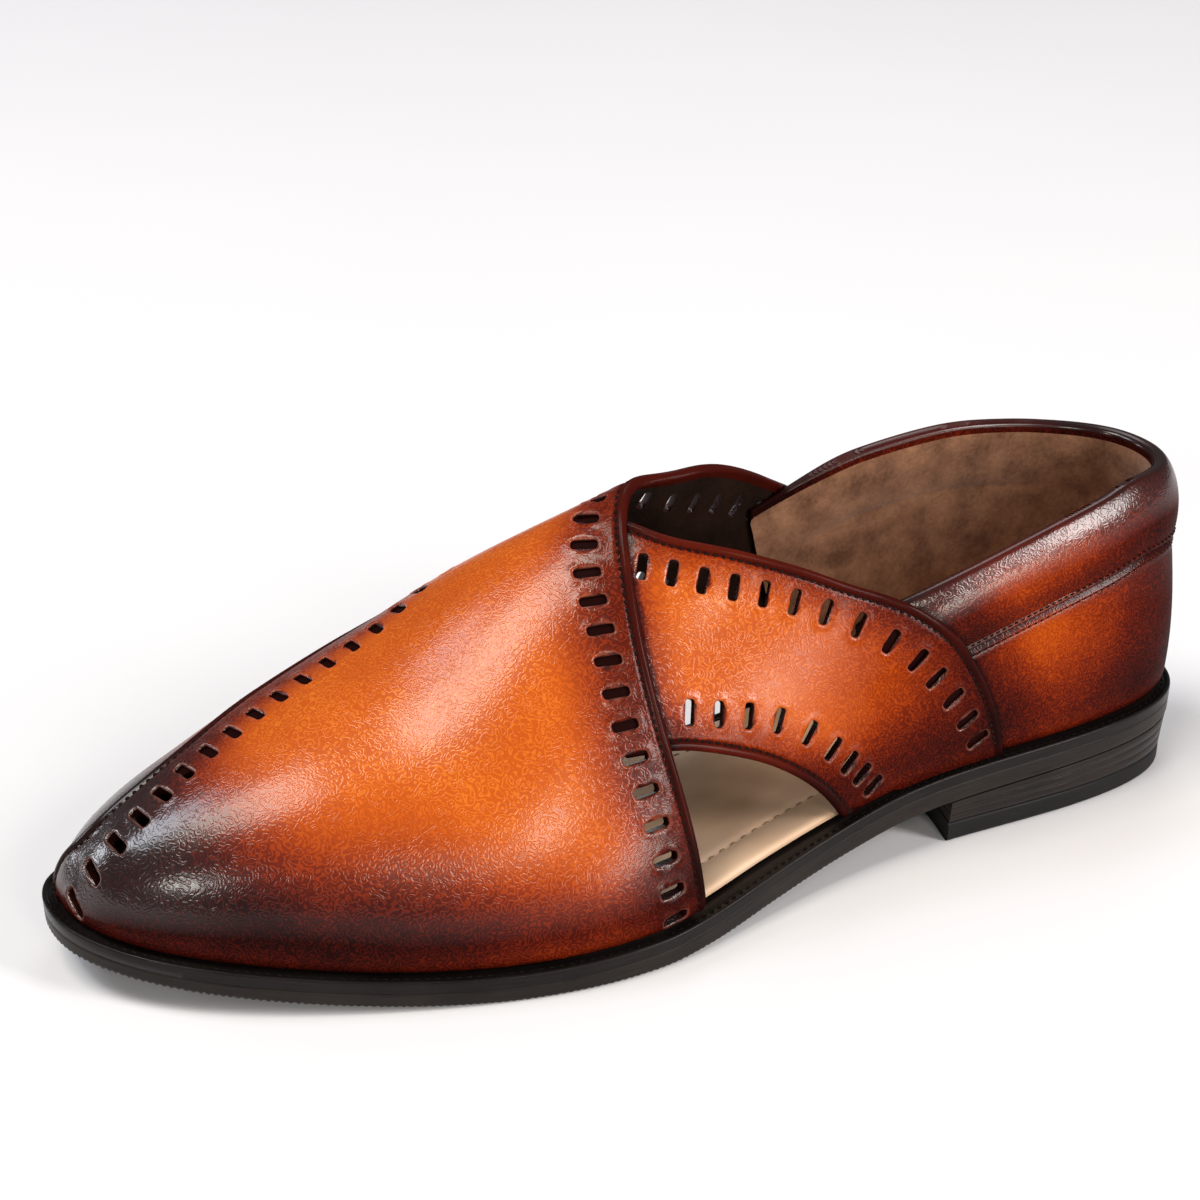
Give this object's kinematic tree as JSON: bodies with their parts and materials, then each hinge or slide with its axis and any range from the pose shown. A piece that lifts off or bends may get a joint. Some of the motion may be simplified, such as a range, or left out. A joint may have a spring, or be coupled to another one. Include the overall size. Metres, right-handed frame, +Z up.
{
  "type": "peshawari chappal",
  "caption": "Closed slip-on leather chappal: slotted over-panel and under-panel cross over the instep, padded quarter, welted sole and low stacked heel.",
  "frame": {"origin": "on the floor plane, under the middle of the shoe's bounding box", "axes": "+X from the heel to the toe, +Y to the wearer's left, which is this left shoe's outer side, +Z up"},
  "size_m": [0.302, 0.1016, 0.0973],
  "materials": {
    "upper_leather": "orange-tan calf, burnished dark brown at edges and toe, glossy",
    "insole_leather": "pale natural leather, matt",
    "welt": "black edge-inked welt with fine stitching",
    "outsole": "black-brown edge-inked sole leather",
    "heel_stack": "black-brown edge-inked stacked leather",
    "heel_cap": "black rubber top piece"
  },
  "bodies": {
    "root": {"upper": "upper_leather", "insole": "insole_leather", "welt": "welt", "outsole": "outsole", "heel_stack": "heel_stack", "heel_cap": "heel_cap"}
  },
  "joints": []
}
